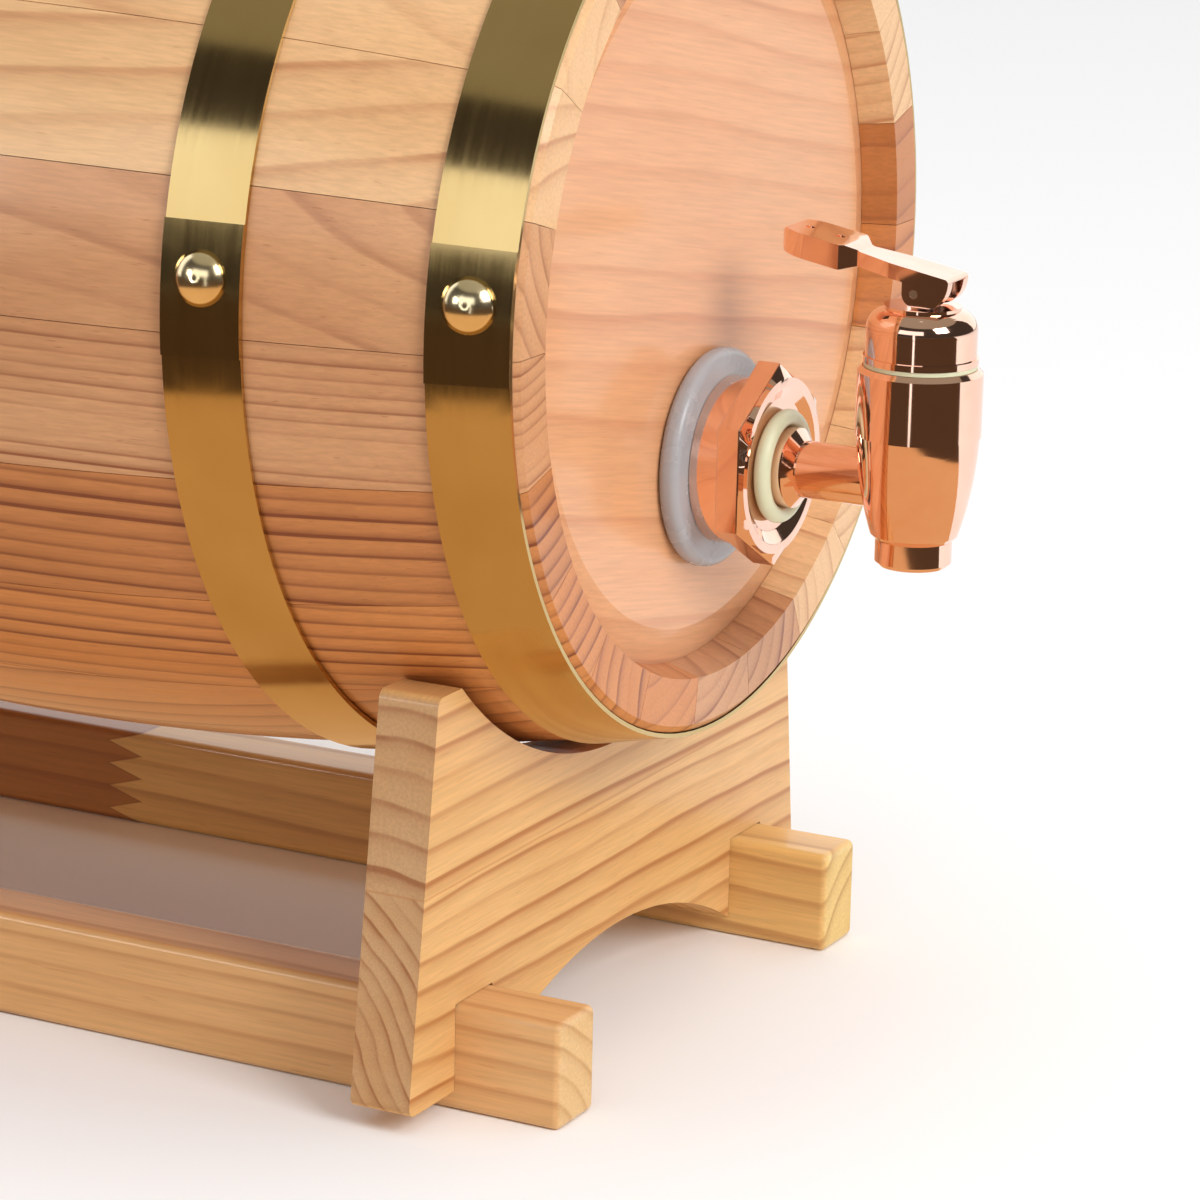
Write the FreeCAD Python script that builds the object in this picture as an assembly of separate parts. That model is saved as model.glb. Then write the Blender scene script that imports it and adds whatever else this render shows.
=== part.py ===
import FreeCAD, Part
import math
import os
from FreeCAD import Vector

# Cask: a bowed barrel of staves lying on its side, its axis along X
cask_length = 270.0
end_radius = 85.0
bilge_radius = 101.0
axis_height = 148.0
stave_count = 22
stave_seam = 0.12
stave_wall = 10.0
chime_chamfer = 1.0
chime_mouth_radius = 75.0
chime_root_radius = 73.0
croze_depth = 3.5
howel_width = 12.0
howel_lip = 1.2

# Heads: the two round ends, let into grooves in the staves
head_recess = 5.0
head_thickness = 10.0
head_bevel_width = 6.8
head_bevel_drop = 2.0
head_edge_thickness = 5.0
head_edge_clearance = 0.1

# Hoops and their rivets
hoop_thickness = 0.8
hoop_width = 15.0
hoop_clearance = 0.3
end_hoop_inset = 0.8
quarter_hoop_middle = 78.1
quarter_hoop_lean_deg = 0.9
lap_thickness = 0.4
lap_below_rivet = 14.0
lap_above_rivet = 10.0
rivet_elevation_deg = 6.2
rivet_head_radius = 4.5
rivet_head_height = 2.3
rivet_shank_radius = 1.5
rivet_hole_clearance = 0.05

# Bung in the top stave
bung_hole_radius = 10.0
bung_shank_clearance = 0.3
bung_shank_length = 17.0
bung_shank_taper = 0.8
bung_head_radius = 14.0
bung_head_height = 9.0
bung_head_rounding = 2.5
bung_gasket_radius = 13.0
bung_gasket_thickness = 1.5
bung_rest_gap = 0.3

# Tap: where it enters the front head, and its clamping stack
tap_drop = 33.6
shank_radius = 9.0
shank_bore_radius = 3.0
shank_hole_clearance = 0.5
washer_clearance = 0.12
thread_clearance = 0.08
face_gap = 0.05
outer_washer_radius = 21.0
outer_washer_thickness = 4.2
outer_washer_rounding = 1.6
flange_radius = 16.0
flange_length = 6.2
nut_across_flats = 34.0
nut_length = 5.6
nut_chamfer = 1.6
dish_radius = 15.4
dish_floor_radius = 12.6
dish_depth = 1.4
collar_radius = 7.6
collar_length = 4.6
collar_taper = 1.6
collar_ring_wire = 1.6
inner_washer_radius = 15.5
inner_washer_thickness = 3.0
lock_nut_across_flats = 27.0
lock_nut_length = 7.0
lock_nut_chamfer = 1.0
shank_tail = 4.0

# Tap: pipe and upright body
pipe_radius = 5.4
tap_reach = 43.6
spigot_radius = 4.4
spigot_clearance = 0.1
band_radius = 11.75
band_bottom = 9.6
band_top = 22.4
band_step = 0.25
band_chamfer = 0.9
taper_bottom_radius = 8.2
taper_bottom = -9.4
taper_bulge = 0.65
nozzle_radius = 7.2
nozzle_bore_radius = 5.2
nozzle_bottom = -15.4
nozzle_rounding = 0.8
chamber_radius = 8.6
seat_bore_radius = 4.0
seat_thickness = 2.0
seat_drop = 6.0

# Tap: bonnet, stem and spring
bonnet_gasket_thickness = 0.8
bonnet_gasket_inset = 1.2
bonnet_skirt_length = 7.0
bonnet_skirt_clearance = 0.1
bonnet_flange_radius = 10.75
bonnet_flange_height = 1.2
bonnet_radius = 10.35
bonnet_side_height = 4.6
bonnet_dome_height = 4.2
bonnet_dome_bulge = 1.0
neck_radius = 7.2
neck_height = 0.6
spring_pocket_radius = 6.6
spring_pocket_roof = 2.6
stem_radius = 2.2
stem_clearance = 0.08
o_ring_wire = 0.85
o_ring_pocket_clearance = 0.15
o_ring_drop = 3.2
seat_washer_radius = 6.0
seat_washer_thickness = 2.6
seat_rest_gap = 0.3
stem_stub_radius = 1.8
stem_disc_radius = 6.4
stem_disc_thickness = 1.8
spring_wire = 0.35
spring_radius = 4.8
spring_turns = 7
spring_end_gap = 0.1

# Tap: lever, pinned across the top of the stem, its cam lifting off the bonnet
cam_low_radius = 2.4
cam_lift = 4.4
cam_gap = 0.3
cam_steps = 6
heel_rounding = 0.8
fork_gap = 0.35
fork_half_width = 4.7
pin_radius = 0.8
pin_press_clearance = 0.02
pin_running_clearance = 0.06
lever_tilt_deg = 10.0
lever_length = 28.5
arm_half_width = 3.3
arm_thickness = 2.8
arm_rise = 3.0
paddle_length = 13.5
paddle_half_width = 6.4
paddle_thickness = 4.6
paddle_blend = 2.5
paddle_hole_radius = 0.9
paddle_hole_depth = 1.6
paddle_hole_spacing = 6.2
paddle_hole_inset = 4.0

# Stand: two rails on the table and two cradle plates across them
rail_overhang = 0.4
rail_width = 14.0
rail_height = 20.8
rail_inner_half_gap = 51.0
rail_edge_rounding = 1.5
plate_front_inset = 22.0
plate_thickness = 12.4
plate_bottom = 3.9
horn_drop = 66.5
plate_foot_half_width = 82.2
plate_horn_half_width = 72.7
plate_corner_rounding = 2.0
joint_clearance = 0.1
arch_height = 17.7
cradle_gap = 0.35
screw_radius = 1.7
screw_head_radius = 3.4
screw_head_height = 2.2
screw_sink = 0.6
screw_length = 38.0
screw_hole_clearance = 0.15

half_length = cask_length / 2
bulge = bilge_radius - end_radius
bow_radius = (half_length ** 2 + bulge ** 2) / (2 * bulge)
bow_centre = bilge_radius - bow_radius
stave_pitch = 360.0 / stave_count

head_face_x = half_length - head_recess
head_edge_x = head_face_x - head_bevel_drop
head_back_x = head_face_x - head_thickness
groove_front_x = head_edge_x + head_edge_clearance
groove_back_x = head_edge_x - head_edge_thickness - head_edge_clearance
groove_radius = chime_root_radius + croze_depth
howel_x = groove_back_x - howel_width

tap_height = axis_height - tap_drop
washer_front_x = head_face_x + face_gap + outer_washer_thickness
flange_back_x = washer_front_x + face_gap
nut_back_x = flange_back_x + flange_length
nut_front_x = nut_back_x + nut_length
collar_back_x = nut_front_x - dish_depth
collar_front_x = collar_back_x + collar_length
inner_washer_x = head_back_x - face_gap - inner_washer_thickness
lock_nut_x = inner_washer_x - face_gap - lock_nut_length
shank_back_x = lock_nut_x - shank_tail

body_x = head_face_x + tap_reach
body_top = tap_height + band_top
seat_top = tap_height - seat_drop
chamber_bottom = seat_top
gasket_bottom = body_top + face_gap
bonnet_bottom = gasket_bottom + bonnet_gasket_thickness + face_gap
bonnet_side_top = bonnet_bottom + bonnet_flange_height + bonnet_side_height
bonnet_dome_top = bonnet_side_top + bonnet_dome_height
neck_top = bonnet_dome_top + neck_height
spring_roof = bonnet_side_top - spring_pocket_roof
pivot_z = neck_top + cam_gap + cam_low_radius
stem_disc_bottom = seat_top + seat_rest_gap + seat_washer_thickness + face_gap
stem_disc_top = stem_disc_bottom + stem_disc_thickness

rail_length = cask_length + 2 * rail_overhang
plate_top = axis_height - horn_drop
plate_front_x = rail_length / 2 - plate_front_inset
plate_back_x = plate_front_x - plate_thickness
plate_middle_x = (plate_front_x + plate_back_x) / 2
rail_outer_half_gap = rail_inner_half_gap + rail_width
rail_middle_y = rail_inner_half_gap + rail_width / 2

# The frame's origin is on the table, under the middle of the whole object's length
front_reach = body_x + band_radius
rear_reach = max(rail_length, cask_length) / 2
origin_x = (front_reach - rear_reach) / 2


def cask_outside(x):
    """Outer radius of the staves at a distance x from the middle of the cask."""
    return bow_centre + math.sqrt(bow_radius ** 2 - x ** 2)


def face_of(edges):
    return Part.Face(Part.Wire(Part.__sortEdges__(edges)))


def lines(points):
    return [Part.makeLine(a, b) for a, b in zip(points[:-1], points[1:])]


def polygon(points):
    return Part.Face(Part.makePolygon(points + [points[0]]))


def arc(start, middle, end):
    return Part.Arc(start, middle, end).toShape()


def spin_about_x(points, height):
    """Solid of revolution about an axis along X at a height; points are (x, radius)."""
    section = polygon([Vector(x, 0, r) for x, r in points])
    solid = section.revolve(Vector(), Vector(1, 0, 0), 360)
    return solid.translate(Vector(0, 0, height))


def spin_about_body(points):
    """Solid of revolution about the tap's upright axis; points are (radius, z)."""
    section = polygon([Vector(r, 0, z) for r, z in points])
    return section.revolve(Vector(), Vector(0, 0, 1), 360).translate(Vector(body_x, 0, 0))


def tube_x(back_x, front_x, outer, bore):
    points = [(back_x, bore), (back_x, outer), (front_x, outer), (front_x, bore)]
    return spin_about_x(points, tap_height)


def tube_z(bottom, top, outer, bore):
    return spin_about_body([(bore, bottom), (outer, bottom), (outer, top), (bore, top)])


def rod_x(back_x, front_x, radius):
    return Part.makeCylinder(radius, front_x - back_x, Vector(back_x, 0, tap_height), Vector(1, 0, 0))


def block(x_low, x_high, y_low, y_high, z_low, z_high):
    return Part.makeBox(x_high - x_low, y_high - y_low, z_high - z_low, Vector(x_low, y_low, z_low))


def mirrored_x(shape):
    return shape.mirror(Vector(), Vector(1, 0, 0))


def mirrored_y(shape):
    return shape.mirror(Vector(), Vector(0, 1, 0))


# Staves
def stave_section():
    front = [
        (half_length - chime_chamfer, cask_outside(half_length - chime_chamfer)),
        (half_length, end_radius - chime_chamfer),
        (half_length, chime_mouth_radius),
        (groove_front_x, chime_root_radius),
        (groove_front_x, groove_radius),
        (groove_back_x, groove_radius),
        (groove_back_x, chime_root_radius + howel_lip),
        (howel_x, cask_outside(howel_x) - stave_wall),
    ]
    front_points = [Vector(x, 0, r) for x, r in front]
    rear_points = [Vector(-x, 0, r) for x, r in front]
    outer = arc(rear_points[0], Vector(0, 0, bilge_radius), front_points[0])
    inner = arc(rear_points[-1], Vector(0, 0, bilge_radius - stave_wall), front_points[-1])
    return face_of([outer, inner] + lines(front_points) + lines(rear_points))


def stave(index):
    seam_deg = math.degrees(stave_seam / end_radius)
    span = stave_pitch - seam_deg
    section = stave_section()
    section.rotate(Vector(), Vector(1, 0, 0), index * stave_pitch - span / 2)
    solid = section.revolve(Vector(), Vector(1, 0, 0), span)
    return solid.translate(Vector(0, 0, axis_height))


def bung_stave():
    hole = Part.makeCylinder(bung_hole_radius, 2 * bilge_radius, Vector(0, 0, axis_height))
    return stave(0).cut(hole)


# Heads
def plain_head():
    edge_radius = groove_radius - head_edge_clearance
    bevel_radius = chime_root_radius - head_bevel_width
    rim_radius = chime_root_radius - head_edge_clearance
    edge_back_x = head_edge_x - head_edge_thickness
    points = [
        (head_back_x, 0),
        (head_face_x, 0),
        (head_face_x, bevel_radius),
        (head_edge_x, rim_radius),
        (head_edge_x, edge_radius),
        (edge_back_x, edge_radius),
        (edge_back_x, rim_radius),
        (head_back_x, bevel_radius),
    ]
    return spin_about_x(points, axis_height)


def front_head():
    hole_radius = shank_radius + shank_hole_clearance
    return plain_head().cut(rod_x(head_back_x - head_thickness, half_length, hole_radius))


# Hoops, each with the end of its strip lapped over and riveted on the near side
def hoop_line(x, lift):
    return cask_outside(x) + hoop_clearance + lift


def hoop_band(back_x, bottom_lift, top_lift, span_deg):
    front_x = back_x + hoop_width
    section = polygon([
        Vector(back_x, 0, hoop_line(back_x, bottom_lift)),
        Vector(back_x, 0, hoop_line(back_x, top_lift)),
        Vector(front_x, 0, hoop_line(front_x, top_lift)),
        Vector(front_x, 0, hoop_line(front_x, bottom_lift)),
    ])
    return section.revolve(Vector(), Vector(1, 0, 0), span_deg)


def rivet_frame(back_x):
    """Where a hoop's rivet sits, and the direction square to the hoop there."""
    middle_x = back_x + hoop_width / 2
    slope = (hoop_line(back_x, 0) - hoop_line(back_x + hoop_width, 0)) / hoop_width
    tilt = math.atan(slope)
    elevation = math.radians(rivet_elevation_deg)
    outward = Vector(0, -math.cos(elevation), math.sin(elevation))
    seat = (hoop_line(back_x, 0) + hoop_line(back_x + hoop_width, 0)) / 2 + hoop_thickness + lap_thickness
    place = Vector(middle_x, 0, axis_height) + outward * seat
    normal = outward * math.cos(tilt) + Vector(math.sin(tilt), 0, 0)
    return place, normal


def hoop(back_x):
    seat_radius = hoop_line(back_x + hoop_width / 2, hoop_thickness)
    lap_span = math.degrees((lap_below_rivet + lap_above_rivet) / seat_radius)
    lap_start = 90 - rivet_elevation_deg - math.degrees(lap_above_rivet / seat_radius)
    ring = hoop_band(back_x, 0, hoop_thickness, 360)
    lap = hoop_band(back_x, hoop_thickness, hoop_thickness + lap_thickness, lap_span)
    lap.rotate(Vector(), Vector(1, 0, 0), lap_start)
    band = ring.fuse(lap).translate(Vector(0, 0, axis_height))
    place, normal = rivet_frame(back_x)
    hole_radius = rivet_shank_radius + rivet_hole_clearance
    hole = Part.makeCylinder(hole_radius, end_radius / 2, place - normal * end_radius / 4, normal)
    return band.cut(hole)


def rivet(back_x):
    head_edge = Vector(rivet_head_radius, 0, 0)
    crown = Vector(0, 0, rivet_head_height)
    sphere_radius = (rivet_head_radius ** 2 + rivet_head_height ** 2) / (2 * rivet_head_height)
    shoulder_r = sphere_radius * math.sin(math.asin(rivet_head_radius / sphere_radius) / 2)
    shoulder_z = rivet_head_height - sphere_radius + math.sqrt(sphere_radius ** 2 - shoulder_r ** 2)
    shank_end = -(hoop_thickness + lap_thickness)
    outline = lines([
        crown,
        Vector(0, 0, shank_end),
        Vector(rivet_shank_radius, 0, shank_end),
        Vector(rivet_shank_radius, 0, 0),
        head_edge,
    ])
    dome = arc(head_edge, Vector(shoulder_r, 0, shoulder_z), crown)
    solid = face_of(outline + [dome]).revolve(Vector(), Vector(0, 0, 1), 360)
    place, normal = rivet_frame(back_x)
    solid.Placement = FreeCAD.Placement(place, FreeCAD.Rotation(Vector(0, 0, 1), normal))
    return solid


def leaned(shape, back_x, lean_deg):
    """A hoop driven on by hand is never quite square: its top leans towards the bilge."""
    middle = Vector(back_x + hoop_width / 2, 0, axis_height)
    turned = shape.copy()
    turned.rotate(middle, Vector(0, 1, 0), -lean_deg)
    return turned


# Bung and its gasket
def bung():
    gasket_top = axis_height + bilge_radius + bung_rest_gap + bung_gasket_thickness
    head_bottom = gasket_top + face_gap
    shank_top = bung_hole_radius - bung_shank_clearance
    shank_foot = shank_top - bung_shank_taper
    head = Part.makeCylinder(bung_head_radius, bung_head_height, Vector(0, 0, head_bottom))
    rims = [e for e in head.Edges if e.Length > bung_head_radius and e.BoundBox.ZLength < face_gap
            and e.BoundBox.ZMin > head_bottom + bung_head_height / 2]
    head = head.makeFillet(bung_head_rounding, rims)
    shank = Part.makeCone(shank_foot, shank_top, bung_shank_length,
                          Vector(0, 0, head_bottom - bung_shank_length))
    return head.fuse(shank)


def bung_gasket():
    bottom = axis_height + bilge_radius + bung_rest_gap
    ring = Part.makeCylinder(bung_gasket_radius, bung_gasket_thickness, Vector(0, 0, bottom))
    bore = Part.makeCylinder(bung_hole_radius, 2 * bung_gasket_thickness, Vector(0, 0, bottom))
    return ring.cut(bore)


# The clamping stack on the front head
def hexagon(across_flats, back_x, front_x):
    corner = across_flats / math.sqrt(3)
    angles = [math.radians(90 + 60 * k) for k in range(6)]
    points = [Vector(back_x, corner * math.cos(a), tap_height + corner * math.sin(a)) for a in angles]
    return polygon(points).extrude(Vector(front_x - back_x, 0, 0))


def chamfered_hexagon(across_flats, back_x, front_x, chamfer):
    corner = across_flats / math.sqrt(3)
    drop = chamfer * 0.6
    trim = [
        (back_x, 0), (back_x, corner - chamfer), (back_x + drop, corner),
        (front_x - drop, corner), (front_x, corner - chamfer), (front_x, 0),
    ]
    return hexagon(across_flats, back_x, front_x).common(spin_about_x(trim, tap_height))


def outer_washer():
    back_x = head_face_x + face_gap
    ring = tube_x(back_x, washer_front_x, outer_washer_radius, shank_radius + washer_clearance)
    rims = [e for e in ring.Edges if e.BoundBox.YLength > 2 * flange_radius
            and e.BoundBox.XLength < face_gap]
    return ring.makeFillet(outer_washer_rounding, rims)


def flange_nut():
    bore = shank_radius + thread_clearance
    nut = chamfered_hexagon(nut_across_flats, nut_back_x, nut_front_x, nut_chamfer)
    flange = rod_x(flange_back_x, nut_back_x + nut_length / 2, flange_radius)
    rims = [e for e in flange.Edges if e.BoundBox.XLength < face_gap
            and e.BoundBox.XMax < nut_back_x]
    flange = flange.makeFillet(outer_washer_rounding / 2, rims)
    dish = [
        (collar_back_x, 0), (collar_back_x, dish_floor_radius),
        (nut_front_x, dish_radius), (nut_front_x + dish_depth, dish_radius),
        (nut_front_x + dish_depth, 0),
    ]
    body = nut.fuse(flange).cut(spin_about_x(dish, tap_height))
    return body.cut(rod_x(flange_back_x - flange_length, nut_front_x, bore))


def collar_ring():
    ring_radius = collar_radius + collar_ring_wire + face_gap
    middle = Vector(collar_back_x + collar_ring_wire + face_gap, 0, tap_height)
    return Part.makeTorus(ring_radius, collar_ring_wire, middle, Vector(1, 0, 0))


def inner_washer():
    bore = shank_radius + washer_clearance
    return tube_x(inner_washer_x, head_back_x - face_gap, inner_washer_radius, bore)


def lock_nut():
    bore = shank_radius + thread_clearance
    front_x = lock_nut_x + lock_nut_length
    nut = chamfered_hexagon(lock_nut_across_flats, lock_nut_x, front_x, lock_nut_chamfer)
    return nut.cut(rod_x(lock_nut_x - lock_nut_length, front_x + lock_nut_length, bore))


def shank_pipe():
    taper_x = collar_front_x + collar_taper
    outline = [
        (shank_back_x, 0), (shank_back_x, shank_radius), (collar_back_x, shank_radius),
        (collar_back_x, collar_radius), (collar_front_x, collar_radius),
        (taper_x, pipe_radius), (body_x, pipe_radius), (body_x, 0),
    ]
    pipe = spin_about_x(outline, tap_height).cut(body_envelope())
    spigot_end = body_x - chamber_radius - spigot_clearance
    spigot = rod_x(collar_front_x, spigot_end, spigot_radius)
    bore = rod_x(shank_back_x - shank_tail, body_x, shank_bore_radius)
    return pipe.fuse(spigot).cut(bore)


# The tap's upright body
def taper_arc():
    low = Vector(taper_bottom_radius, 0, tap_height + taper_bottom)
    high = Vector(band_radius - band_step, 0, tap_height + band_bottom)
    out = Vector(high.z - low.z, 0, low.x - high.x).normalize()
    return arc(low, (low + high) * 0.5 + out * taper_bulge, high), low, high


def body_envelope():
    curve, low, high = taper_arc()
    bottom = tap_height + nozzle_bottom
    lower = lines([
        Vector(0, 0, bottom),
        Vector(nozzle_radius - nozzle_rounding, 0, bottom),
        Vector(nozzle_radius, 0, bottom + nozzle_rounding),
        Vector(nozzle_radius, 0, low.z - (low.x - nozzle_radius)),
        low,
    ])
    upper = lines([
        high,
        Vector(band_radius, 0, high.z),
        Vector(band_radius, 0, body_top - band_chamfer),
        Vector(band_radius - band_chamfer, 0, body_top),
        Vector(0, 0, body_top),
        Vector(0, 0, bottom),
    ])
    face = face_of(lower + [curve] + upper)
    return face.revolve(Vector(), Vector(0, 0, 1), 360).translate(Vector(body_x, 0, 0))


def tap_body():
    bottom = tap_height + nozzle_bottom
    passage = [
        (0, bottom - seat_thickness), (nozzle_bore_radius, bottom - seat_thickness),
        (nozzle_bore_radius, seat_top - seat_thickness), (seat_bore_radius, seat_top - seat_thickness),
        (seat_bore_radius, seat_top), (chamber_radius, chamber_bottom),
        (chamber_radius, body_top + band_chamfer), (0, body_top + band_chamfer),
    ]
    inlet = rod_x(body_x - 2 * band_radius, body_x, spigot_radius + spigot_clearance)
    return body_envelope().cut(spin_about_body(passage)).cut(inlet)


# Bonnet, with a pocket for the spring and a groove for the stem's seal
def bonnet():
    skirt_radius = chamber_radius - bonnet_skirt_clearance
    skirt_bottom = bonnet_bottom - bonnet_skirt_length
    flange_top = bonnet_bottom + bonnet_flange_height
    dome_low = Vector(bonnet_radius, 0, bonnet_side_top)
    dome_high = Vector(neck_radius, 0, bonnet_dome_top)
    out = Vector(dome_high.z - dome_low.z, 0, dome_low.x - dome_high.x).normalize()
    dome = arc(dome_low, (dome_low + dome_high) * 0.5 + out * bonnet_dome_bulge, dome_high)
    outline = lines([
        dome_high,
        Vector(neck_radius, 0, neck_top),
        Vector(0, 0, neck_top),
        Vector(0, 0, skirt_bottom),
        Vector(skirt_radius, 0, skirt_bottom),
        Vector(skirt_radius, 0, bonnet_bottom),
        Vector(bonnet_flange_radius, 0, bonnet_bottom),
        Vector(bonnet_flange_radius, 0, flange_top),
        Vector(bonnet_radius, 0, flange_top),
        dome_low,
    ])
    solid = face_of(outline + [dome]).revolve(Vector(), Vector(0, 0, 1), 360)
    solid = solid.translate(Vector(body_x, 0, 0))
    pocket = tube_z(skirt_bottom - face_gap, spring_roof, spring_pocket_radius, 0)
    bore = tube_z(skirt_bottom, neck_top + neck_height, stem_radius + stem_clearance, 0)
    half_groove = o_ring_wire + o_ring_pocket_clearance
    groove_middle = neck_top - o_ring_drop
    groove_radius_here = stem_radius + stem_clearance + 2 * half_groove
    groove = tube_z(groove_middle - half_groove, groove_middle + half_groove, groove_radius_here, 0)
    return solid.cut(pocket).cut(bore).cut(groove)


def bonnet_gasket():
    outer = band_radius - bonnet_gasket_inset
    return tube_z(gasket_bottom, gasket_bottom + bonnet_gasket_thickness, outer, chamber_radius)


def stem_o_ring():
    ring_radius = stem_radius + stem_clearance + o_ring_wire
    middle = Vector(body_x, 0, neck_top - o_ring_drop)
    return Part.makeTorus(ring_radius, o_ring_wire, middle, Vector(0, 0, 1))


# Stem with its seat washer
def cross_cylinder(radius, half_width):
    return Part.makeCylinder(radius, 2 * half_width, Vector(body_x, -half_width, pivot_z), Vector(0, 1, 0))


def stem():
    stub_bottom = seat_top + seat_rest_gap
    outline = [
        (0, stub_bottom), (stem_stub_radius, stub_bottom), (stem_stub_radius, stem_disc_bottom),
        (stem_disc_radius, stem_disc_bottom), (stem_disc_radius, stem_disc_top),
        (stem_radius, stem_disc_top), (stem_radius, pivot_z + stem_radius), (0, pivot_z + stem_radius),
    ]
    rod = spin_about_body(outline)
    reach = 2 * stem_radius
    crown = block(body_x - reach, body_x + reach, -reach, reach, pivot_z, pivot_z + reach)
    rod = rod.cut(crown.cut(cross_cylinder(stem_radius, reach)))
    return rod.cut(cross_cylinder(pin_radius + pin_running_clearance, reach))


def seat_washer():
    bottom = seat_top + seat_rest_gap
    bore = stem_stub_radius + face_gap
    return tube_z(bottom, bottom + seat_washer_thickness, seat_washer_radius, bore)


def return_spring():
    low = stem_disc_top + spring_end_gap + spring_wire
    high = spring_roof - spring_end_gap - spring_wire
    pitch = (high - low) / spring_turns
    path = Part.makeHelix(pitch, high - low, spring_radius)
    ring = Part.Wire(Part.makeCircle(spring_wire, Vector(spring_radius, 0, 0), Vector(0, 1, 0)))
    coil = Part.Wire(path).makePipeShell([ring], True, True)
    return coil.translate(Vector(body_x, 0, low))


# Lever: side outline and plan outline cut from one another, then forked
def along_arm(distance, lift):
    """A point in the side view, measured from the pivot along the tilted arm."""
    tilt = math.radians(lever_tilt_deg)
    x = -distance * math.cos(tilt) + lift * math.sin(tilt)
    z = distance * math.sin(tilt) + lift * math.cos(tilt)
    return Vector(body_x + x, -paddle_half_width, pivot_z + z)


def lever_side():
    arm_top = arm_rise + arm_thickness / 2
    arm_bottom = arm_rise - arm_thickness / 2
    paddle_start = lever_length - paddle_length
    paddle_top = arm_top + (paddle_thickness - arm_thickness) / 2
    paddle_bottom = paddle_top - paddle_thickness
    tip = paddle_thickness / 2
    outline = [
        along_arm(0, arm_top),
        along_arm(paddle_start - paddle_blend, arm_top),
        along_arm(paddle_start, paddle_top),
        along_arm(lever_length - tip / 2, paddle_top),
        along_arm(lever_length, paddle_top - tip / 2),
        along_arm(lever_length, paddle_bottom + tip / 2),
        along_arm(lever_length - tip / 2, paddle_bottom),
        along_arm(paddle_start, paddle_bottom),
        along_arm(paddle_start - paddle_blend, arm_bottom),
        along_arm(0, arm_bottom),
    ]
    return polygon(outline).extrude(Vector(0, 2 * paddle_half_width, 0))


def lever_plan():
    bottom = pivot_z - 2 * lever_length
    height = Vector(0, 0, 4 * lever_length)
    reach = lever_length * math.cos(math.radians(lever_tilt_deg))
    paddle_back = body_x - reach + paddle_length
    round_x = body_x - reach + paddle_half_width
    paddle = block(round_x, paddle_back, -paddle_half_width, paddle_half_width, bottom, bottom + height.z)
    tip = Part.makeCylinder(paddle_half_width, height.z, Vector(round_x, 0, bottom))
    shoulder = Vector(paddle_back + paddle_blend, arm_half_width, bottom)
    corners = [
        Vector(paddle_back, paddle_half_width, bottom), shoulder,
        Vector(body_x - 2 * cam_low_radius, fork_half_width, bottom),
        Vector(body_x, fork_half_width, bottom),
    ]
    opposite = [Vector(p.x, -p.y, p.z) for p in reversed(corners)]
    arm = polygon(corners + opposite).extrude(height)
    return paddle.fuse(tip).fuse(arm).removeSplitter()


def cam_point(turn):
    """Point of the fork's outline that touches the bonnet when the lever has turned by an angle."""
    rate = cam_lift / math.radians(90)
    reach = cam_low_radius + rate * turn
    x = reach * math.sin(turn) + rate * math.cos(turn)
    z = rate * math.sin(turn) - reach * math.cos(turn)
    return Vector(body_x + x, -fork_half_width, pivot_z + z)


def cam():
    """Cheeks and heel of the fork: the cam raises the stem evenly as the lever turns."""
    start = Vector(body_x, -fork_half_width, pivot_z)
    bottom = start - Vector(0, 0, cam_low_radius)
    back = start - Vector(cam_low_radius, 0, 0)
    diagonal = cam_low_radius * math.sqrt(0.5)
    curve = Part.BSplineCurve()
    curve.interpolate([cam_point(math.radians(90) * k / cam_steps) for k in range(cam_steps + 1)])
    arm_top = (arm_rise + arm_thickness / 2) / math.cos(math.radians(lever_tilt_deg))
    slope = math.tan(math.radians(lever_tilt_deg))
    back_top = back + Vector(0, 0, arm_top + slope * cam_low_radius)
    heel = cam_point(math.radians(90))
    heel_top = Vector(heel.x, heel.y, pivot_z + arm_top - slope * (heel.x - body_x))
    outline = lines([heel, heel_top, back_top, back]) + lines([bottom, cam_point(0)])
    hub = arc(back, start - Vector(diagonal, 0, diagonal), bottom)
    side = face_of(outline + [hub, curve.toShape()])
    solid = side.extrude(Vector(0, 2 * fork_half_width, 0))
    top_edges = [e for e in solid.Edges if e.BoundBox.YLength > fork_half_width
                 and e.BoundBox.XMin > heel.x - cam_gap and e.BoundBox.ZMin > heel_top.z - cam_gap / 2]
    return solid.makeFillet(heel_rounding, top_edges)


def paddle_holes():
    holes = []
    surface = arm_rise + arm_thickness / 2 + (paddle_thickness - arm_thickness) / 2
    for step in range(2):
        distance = lever_length - paddle_hole_inset - step * paddle_hole_spacing
        mouth = along_arm(distance, surface + paddle_hole_depth)
        foot = along_arm(distance, surface - paddle_hole_depth)
        mouth.y = foot.y = 0
        holes.append(Part.makeCylinder(paddle_hole_radius, (mouth - foot).Length, foot, mouth - foot))
    return holes


def lever():
    solid = lever_side().common(lever_plan()).fuse(cam()).removeSplitter()
    inner = stem_radius + fork_gap
    reach = 2 * (cam_low_radius + cam_lift)
    slot = block(body_x - inner, body_x + reach, -inner, inner, pivot_z - reach, pivot_z + inner)
    solid = solid.cut(slot).cut(cross_cylinder(pin_radius + pin_press_clearance, paddle_half_width))
    for dimple in paddle_holes():
        solid = solid.cut(dimple)
    return solid


def lever_pin():
    return cross_cylinder(pin_radius, fork_half_width)


# Stand
def screw_places():
    return [Vector(sx * plate_middle_x, sy * rail_middle_y, 0) for sx in (-1, 1) for sy in (-1, 1)]


def screw(place):
    head = Part.makeCone(screw_head_radius, screw_radius, screw_head_height,
                         place + Vector(0, 0, screw_sink))
    shank = Part.makeCylinder(screw_radius, screw_length - screw_sink, place + Vector(0, 0, screw_sink))
    return head.fuse(shank)


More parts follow.
